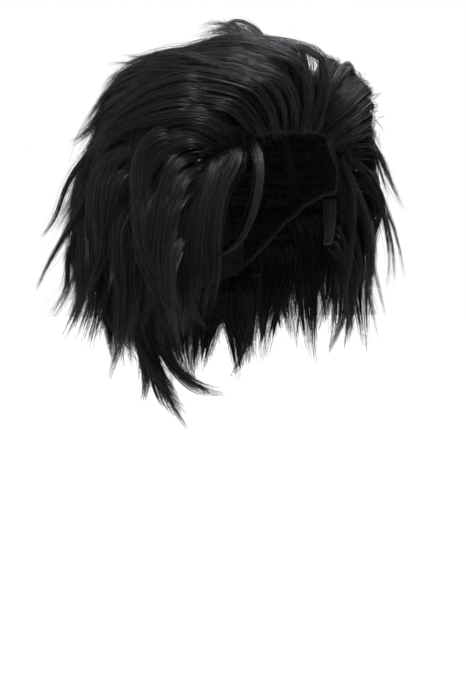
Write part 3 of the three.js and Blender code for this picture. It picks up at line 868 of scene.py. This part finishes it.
# Hair that is sewn to the cap and hangs over a cheek tab, and whose tab it is.
OVER_TABS = {
    "right_temple_hair": "right", "left_temple_hair": "left",
    "temple_wisps": "right", "right_temple_fill": "right", "left_temple_fill": "left",
}


def root_grid(angles, levels, rng, spacing=LOCK_SPACING):
    """Roots on staggered rows over a zone of the cap, a little scattered. The low level may be EDGE."""
    middle = (angles[0] + angles[1]) / 2
    high = levels[1]
    low = cap_edge(middle) if levels[0] is EDGE else levels[0]
    trail = place(middle, np.linspace(low, high, 12), 0)
    height = np.sum(np.linalg.norm(np.diff(trail, axis=0), axis=1))
    rows = max(2, int(round(height / spacing)))
    roots = []
    for row in range(rows):
        share = row / (rows - 0.5)
        level = low + (high - low) * share
        around = place(np.linspace(angles[0], angles[1], 24), level, 0)
        width = np.sum(np.linalg.norm(np.diff(around, axis=0), axis=1))
        columns = max(1, int(round(width / spacing)))
        for column in range(columns):
            across = (column + 0.5 * (row % 2) + 0.25 + rng.uniform(-0.2, 0.2)) / columns
            angle = angles[0] + (angles[1] - angles[0]) * across
            bottom = cap_edge(angle) if levels[0] is EDGE else low
            scatter = 0 if row == 0 else rng.uniform(-0.25, 0.25) / rows
            roots.append((angle, bottom + (high - bottom) * np.clip(share + scatter, 0, 1)))
    return np.array(roots)


def draw_style(kind, roots, rng, tuft_size):
    """Each guide's length, share, flick and turn: mostly its tuft's, and a little its own."""
    count = len(roots)
    points = place(roots[:, 0], roots[:, 1], 0)
    tufts = max(1, count // tuft_size)
    chosen = rng.choice(count, tufts, replace=False)
    owner = chosen[np.argmin(np.linalg.norm(points[:, None] - points[chosen][None], axis=-1), axis=1)]
    style = {}
    for name, blur in (("length", 0.12), ("share", 0.2), ("flick", 0.25), ("turn", 0.2)):
        low, high = kind[name]
        drawn = rng.uniform(low, high, count)
        style[name] = drawn[owner] + (rng.uniform(low, high, count) - (low + high) / 2) * blur
    toward_back = np.where(np.sin(np.radians(roots[:, 0])) > 0, 1, -1)
    style["turn"] = np.radians(style["turn"]) * toward_back
    style["sway"] = rng.normal(0, 0.10, count)
    style["phase"] = rng.uniform(0, 6, count)[owner]
    style["wave"] = rng.uniform(-0.0022, 0.0022, count)[owner]
    style["lift"] = kind["lift"]
    loner = rng.random(count) < LONER_SHARE
    style["turn"] = style["turn"] + np.where(loner, rng.normal(0, 0.35, count), 0)
    style["flick"] = style["flick"] + np.where(loner, 0.004, 0)
    pull = np.where(loner, 0.0, rng.uniform(0.45, 0.9, count))
    return style, owner, pull, loner


def section_hair(
    name, angles, levels, kind, rng, spacing=LOCK_SPACING, count=STRANDS_PER_LOCK, tuft_size=TUFT_SIZE,
):
    """The hair of one zone of the cap."""
    roots = root_grid(angles, levels, rng, spacing)
    style, owner, pull, loner = draw_style(kind, roots, rng, tuft_size)
    guides = grow(place(roots[:, 0], roots[:, 1], HAIR_BASE * 0.6), style)
    guides = tuft(guides, owner, pull)
    width = spacing * rng.uniform(0.9, 1.5, len(roots)) * np.where(loner, 0.5, 1)
    return groom(name + "_strands", guides, width, width * 0.45, rng, count=count)


def quiff(rng):
    """The tufts of the front that stand up highest and break over to the wearer's right."""
    guides = []
    for n in range(QUIFF_TUFTS):
        share = n / (QUIFF_TUFTS - 1)
        root = QUIFF_START + QUIFF_SPAN * share
        reach = rng.uniform(0.82, 1.04) * (1 - 0.32 * share**2)
        guides.append(route_guides([
            (root, 41 + rng.uniform(0, 8), 6),
            (root - 3, 56, 32 * reach),
            (root - 8, 67, 41 * reach),
            (root - 22, 76, 46 * reach + rng.uniform(-2, 3)),
            (root - 50 - 25 * rng.random(), 78 - 8 * rng.random(), 48 * reach + rng.uniform(-5, 6)),
        ]))
    guides = np.array(guides)
    width = rng.uniform(0.0024, 0.0052, len(guides))
    piece = groom("quiff_strands", guides, width, width * 0.5, rng, count=66, ends=0.5, stray=0.16)
    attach(piece, "cap")


def hang(piece, name):
    """Hair rides on the cap. What hangs over a cheek tab is attached to nothing: its placement is only baked
    into its mesh.
    """
    side = OVER_TABS.get(name)
    if side is None:
        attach(piece, "cap")
        return
    middle = dict(SIDES)[side] * (TAB_ANGLES[0] + TAB_ANGLES[1]) / 2
    above, below = (Vector(place(middle, level, TAB_OFFSET)) for level in (14, 3))
    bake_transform(piece)


def all_sections(rng):
    for node, angles, levels, kind in SECTIONS:
        piece = section_hair(node, angles, levels, kind, rng)
        hang(piece, node)
        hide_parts(node)
    fringe = section_hair(
        "hairline", (-60, 60), (EDGE, 39), HAIRLINE, rng, spacing=0.0034, count=24, tuft_size=2)
    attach(fringe, "cap")
    quiff(rng)


def route_guides(route):
    """A smooth guide through knots, each an angle, a level and an offset in millimetres."""
    knots = np.array([place(a, level, offset / 1000) for a, level, offset in route])
    spots = np.linspace(0, len(knots) - 1, GUIDE_POINTS)
    padded = np.vstack([2 * knots[0] - knots[1], knots, 2 * knots[-1] - knots[-2]])
    low = np.minimum(spots.astype(int), len(knots) - 2)
    t = (spots - low)[:, None]
    a, b, c, d = (padded[low + n] for n in range(4))
    return 0.5 * (2 * b + (c - a) * t + (2 * a - 5 * b + 4 * c - d) * t**2 + (3 * b - a - 3 * c + d) * t**3)


def loose_lock(name, route, width, thickness, rng, count=110, **options):
    guides = route_guides(route)[None]
    width, thickness = np.array([width]), np.array([thickness])
    return groom(name, guides, width, thickness, rng, count=count, core=0.7, **options)


# The same loose locks as the CAD model's: name, route, half width and half thickness.
LOCKS = [
    ("crest_lock",
     [(-6, 66, 22), (-13, 73, 39), (-29, 76, 46), (-46, 75, 47), (-58, 68, 45)], 0.0024, 0.0014),
    ("right_flick",
     [(-108, 34, 18), (-112, 16, 34), (-119, -8, 48), (-126, -38, 68), (-130, -62, 88)], 0.005, 0.0028),
    ("right_upper_flick",
     [(-106, 48, 20), (-114, 30, 36), (-124, 12, 48), (-128, -4, 57), (-131, -20, 69)], 0.004, 0.0024),
    ("left_flick",
     [(98, 24, 14), (96, 6, 30), (90, -22, 45), (84, -44, 52), (78, -60, 63)], 0.005, 0.0028),
    ("nape_flick",
     [(-128, -44, 2.2), (-127, -80, 0), (-116, -112, -9), (-88, -134, -17), (-55, -140, -18)], 0.006, 0.003),
]
FORELOCKS = [
    ("right_forelock",
     [(-33, 37, 5), (-29.5, 24, 11), (-29.5, 12, 13), (-33, -6, 15), (-40, -28, 14), (-55.5, -40, 13)]),
    ("left_forelock",
     [(43, 31, 4), (46, 14, 8), (49, -8, 9), (51, -36, 12), (50, -66, 18), (49, -92, 24)]),
]
SIDELOCK = [(-66, -26, 3), (-68, -50, 8), (-68, -68, 9), (-64, -80, 7), (-58, -90, 1)]

# What fills in over the wearer's left temple. The right temple has its mirror image.
TEMPLE_FILL = [
    [(48, 32, 3), (55, 21, 5), (61, 9, 7), (65, -6, 8), (67, -24, 8)],
    [(56, 24, 3), (63, 13, 6), (68, 2, 7), (71, -10, 8), (72, -26, 8)],
    [(64, 22, 3), (69, 12, 6), (74, 2, 8), (77, -12, 9), (78, -30, 9)],
]

# The routes of the thin loose wisps. The temple wisps hang along the side of the face.
WISP_ROUTES = {
    "temple_wisps": [
        [(-37, 37, 4), (-40, 22, 10), (-48, 7, 12), (-52, -20, 12), (-54, -46, 11),
         (-59, -66, 8), (-62, -82, 3)],
        [(-42, 35, 4), (-46, 20, 11), (-52, 5, 14), (-55, -20, 14), (-57, -44, 13),
         (-61, -62, 10), (-66, -78, 5)],
        [(-47, 32, 4), (-51, 18, 12), (-56, 4, 16), (-59, -20, 17), (-61, -42, 16),
         (-64, -60, 14), (-67, -76, 10)],
        [(-52, 27, 4), (-57, 14, 12), (-60, 0, 18), (-63, -22, 20), (-65, -46, 20),
         (-67, -68, 18), (-67, -88, 13)],
        [(-57, 21, 4), (-61, 8, 13), (-64, -8, 19), (-67, -30, 22), (-69, -52, 22),
         (-70, -76, 20), (-69, -100, 15)],
    ],
    "right_temple_fill": [[(-angle, level, out) for angle, level, out in route] for route in TEMPLE_FILL],
    "left_temple_fill": TEMPLE_FILL,
    "parting_fill": [
        [(-6, 37, 3), (-6, 50, 13), (-7, 64, 20), (-14, 78, 22), (-150, 84, 20)],
        [(2, 37, 3), (3, 50, 12), (4, 64, 18), (8, 78, 20), (160, 84, 18)],
        [(10, 37, 3), (11, 50, 11), (13, 64, 16), (24, 78, 18), (120, 82, 17)],
        [(18, 37, 3), (20, 50, 11), (24, 63, 15), (44, 76, 17), (104, 78, 17)],
        [(26, 37, 3), (30, 50, 12), (37, 62, 16), (60, 73, 18), (100, 72, 18)],
    ],
    "crown_wisps": [
        [(-44, 70, 22), (-74, 65, 37), (-100, 58, 45), (-120, 49, 49), (-130, 40, 49)],
        [(-66, 60, 28), (-92, 54, 42), (-112, 46, 47), (-124, 36, 48), (-130, 24, 50)],
        [(-34, 70, 20), (-66, 67, 31), (-96, 62, 39), (-118, 55, 45), (-130, 49, 48)],
    ],
    "left_wisps": [
        [(38, 42, 8), (42, 58, 28), (47, 57, 42), (52, 46, 41), (53, 34, 38)],
        [(40, 40, 8), (46, 50, 26), (52, 48, 38), (57, 36, 40), (56, 24, 44)],
        [(44, 38, 10), (50, 34, 28), (55, 22, 38), (54, 11, 42), (50, 4, 47)],
        [(46, 30, 8), (52, 14, 26), (55, -6, 38), (52, -32, 46), (50, -56, 55)],
        [(48, 24, 8), (52, 0, 20), (54, -32, 30), (52, -60, 38), (50, -82, 46)],
    ],
    "right_wisps": [
        [(-116, 18, 22), (-122, -4, 36), (-127, -30, 50), (-130, -58, 62), (-130, -80, 76)],
        [(-118, -4, 20), (-124, -30, 34), (-128, -56, 46), (-130, -80, 56), (-130, -104, 67)],
        [(-104, -6, 18), (-112, -34, 32), (-118, -60, 40), (-120, -88, 44), (-120, -116, 50)],
        [(-92, 0, 16), (-98, -28, 28), (-102, -58, 34), (-103, -84, 34), (-100, -108, 36)],
    ],
    "nape_curls": [
        [(-125, -46, 4), (-118, -86, 1), (-102, -116, -7), (-72, -134, -15), (-38, -139, -14)],
        [(-132, -42, 4), (-122, -80, 3), (-112, -104, -2), (-96, -119, -9), (-75, -127, -15)],
        [(-140, -50, 3), (-136, -90, -1), (-125, -125, -7), (-108, -150, -12), (-90, -170, -17)],
        [(-150, -52, 2), (-146, -90, -1), (-136, -122, -6), (-120, -146, -10), (-105, -160, -14)],
        [(-136, -40, 6), (-130, -76, 5), (-120, -106, 1), (-106, -128, -6), (-88, -142, -12)],
    ],
}
WISPS_PER_ROUTE = 4
WISP_STRANDS = 26

# How thick and how many-stranded the wisps of each kind are.
WISP_FULLNESS = {
    "temple_wisps": 1.8, "right_temple_fill": 1.8, "left_temple_fill": 1.8, "parting_fill": 1.8,
    "crown_wisps": 1.1, "left_wisps": 1.4, "right_wisps": 1.5, "nape_curls": 2.0,
}


def wisps(rng):
    """Each route's wisps start together and drift apart towards their tips."""
    for name, routes in WISP_ROUTES.items():
        guides = []
        for route in routes:
            for _ in range(WISPS_PER_ROUTE):
                drift = rng.normal(0, 1, 3) * (2.4, 2.0, 2.0)
                guides.append(route_guides([np.array(knot) + drift * n / 3 for n, knot in enumerate(route)]))
        guides = np.array(guides)
        full = WISP_FULLNESS[name]
        width = rng.uniform(0.0012, 0.003, len(guides)) * full
        cut_as = {"count": int(WISP_STRANDS * full), "ends": 0.6, "stray": 0.16, "root_spread": 0.3}
        piece = groom(name, guides, width, width * 0.6, rng, **cut_as)
        hang(piece, name)


def cheek_hair(name, side, rng):
    """The hair that is sewn to a cheek tab."""
    roots = []
    for level in (6, 0, -8, -16, -22):
        for angle in (64, 67.5, 71, 74.5):
            roots.append((side * (angle + rng.uniform(-1, 1)), level + rng.uniform(-2, 2)))
    roots = np.array(roots)
    style, owner, pull, _ = draw_style(CHEEK, roots, rng, 4)
    guides = grow(place(roots[:, 0], roots[:, 1], HAIR_BASE * 0.6), style)
    guides = tuft(guides, owner, pull)
    width = np.full(len(roots), 0.004)
    piece = groom(name + "_cheek_hair_strands", guides, width, width * 0.5, rng)
    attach(piece, name + "_cheek_tab")
    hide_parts(name + "_cheek_hair")


def all_locks(rng):
    """The loose locks, the forelocks, the sidelock and the cheek tabs' hair."""
    for name, route, width, thickness in LOCKS:
        piece = loose_lock(name + "_strands", route, width, thickness, rng, root_spread=0.2)
        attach(piece, "cap")
        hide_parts(name)
    for name, route in FORELOCKS:
        piece = loose_lock(name + "_strands", route, 0.0034, 0.0024, rng, count=200, stray=0.03, frizz=0.0004)
        root = Vector(place(*route[0][:2], route[0][2] / 1000))
        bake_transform(piece)
        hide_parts(name)
    sidelock = loose_lock("right_sidelock_strands", SIDELOCK, 0.004, 0.002, rng)
    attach(sidelock, "right_cheek_tab")
    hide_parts("right_sidelock")
    for name, side in SIDES:
        cheek_hair(name, side, rng)


# ---------------------------------------------------------------- stage, light and camera
VIEW_AZIMUTH = -40
VIEW_ELEVATION = 1.0
VIEW_DISTANCE = 2.6
VIEW_HEIGHT = -0.212
VIEW_ASIDE = -0.0016
VIEW_WIDTH = 0.546
SENSOR_WIDTH = 36
BUST_HEIGHT = 0.47
FLOOR_GLOW = 0.82
STUDIO_FILL = 0.66
LIGHT_AIM = (0, 0, -0.08)

# The softboxes: name, place, size, watts and colour.
COOL_WHITE = (0.95, 0.96, 1.0)
SOFTBOXES = [
    ("key", (-0.5, -1.2, 1.5), (0.9, 0.9), 76, COOL_WHITE),
    ("top", (0.1, 0.0, 1.9), (1.0, 1.0), 64, COOL_WHITE),
    ("rim", (1.7, 0.3, 0.5), (0.8, 1.4), 9, (1, 1, 1)),
]


def build_stage():
    """A pale floor that stays as light as the studio round it, with the object's soft shadow."""
    material, nodes, links, shader = node_material("pale_floor")
    noise = nodes.new("ShaderNodeTexNoise")
    noise.inputs["Scale"].default_value = 3
    colours = ramp(nodes, [(0.3, (0.86, 0.86, 0.86)), (0.7, (0.9, 0.9, 0.9))])
    links.new(noise.outputs["Fac"], colours.inputs["Fac"])
    links.new(colours.outputs["Color"], shader.inputs["Base Color"])
    shader.inputs["Roughness"].default_value = 0.9
    shader.inputs["Emission Color"].default_value = (1, 1, 1, 1)
    shader.inputs["Emission Strength"].default_value = FLOOR_GLOW
    bpy.ops.mesh.primitive_plane_add(size=60, location=(0, 0, -BUST_HEIGHT))
    floor = bpy.context.object
    floor.name = "floor"
    floor.data.materials.append(material)
    floor.visible_diffuse = False
    floor.visible_glossy = False


def build_world():
    world = bpy.data.worlds.new("studio")
    bpy.context.scene.world = world
    world.use_nodes = True
    nodes, links = world.node_tree.nodes, world.node_tree.links
    background = nodes["Background"]
    background.inputs["Color"].default_value = (1, 1, 1, 1)
    rays = nodes.new("ShaderNodeLightPath")
    level = nodes.new("ShaderNodeMapRange")
    level.inputs["To Min"].default_value = STUDIO_FILL
    level.inputs["To Max"].default_value = 1.0
    links.new(rays.outputs["Is Camera Ray"], level.inputs["Value"])
    links.new(level.outputs["Result"], background.inputs["Strength"])


def softbox(name, spot, size, power, colour):
    light = bpy.data.lights.new(name, "AREA")
    light.shape = "RECTANGLE"
    light.size, light.size_y = size
    light.energy = power
    light.color = colour
    lamp = bpy.data.objects.new(name, light)
    bpy.context.scene.collection.objects.link(lamp)
    lamp.location = spot
    aim = Vector(LIGHT_AIM) - Vector(spot)
    lamp.rotation_euler = aim.to_track_quat("-Z", "Y").to_euler()


def build_camera():
    data = bpy.data.cameras.new("camera")
    camera = bpy.data.objects.new("camera", data)
    bpy.context.scene.collection.objects.link(camera)
    azimuth, elevation = math.radians(VIEW_AZIMUTH), math.radians(VIEW_ELEVATION)
    level = math.cos(elevation)
    back = Vector((math.sin(azimuth) * level, -math.cos(azimuth) * level, math.sin(elevation)))
    right = Vector((math.cos(azimuth), math.sin(azimuth), 0))
    target = Vector((0, 0, VIEW_HEIGHT)) + right * VIEW_ASIDE
    camera.location = target + back * VIEW_DISTANCE
    camera.rotation_euler = (-back).to_track_quat("-Z", "Y").to_euler()
    data.sensor_width = SENSOR_WIDTH
    data.lens = data.sensor_width * VIEW_DISTANCE / VIEW_WIDTH
    bpy.context.scene.camera = camera
    bpy.context.scene.view_settings.view_transform = "Standard"


build_camera()
dress_frame()
cap_details()
sewn_details()
rng = np.random.default_rng(SEED)
all_sections(rng)
all_locks(rng)
wisps(rng)
build_stage()
build_world()
for box in SOFTBOXES:
    softbox(*box)
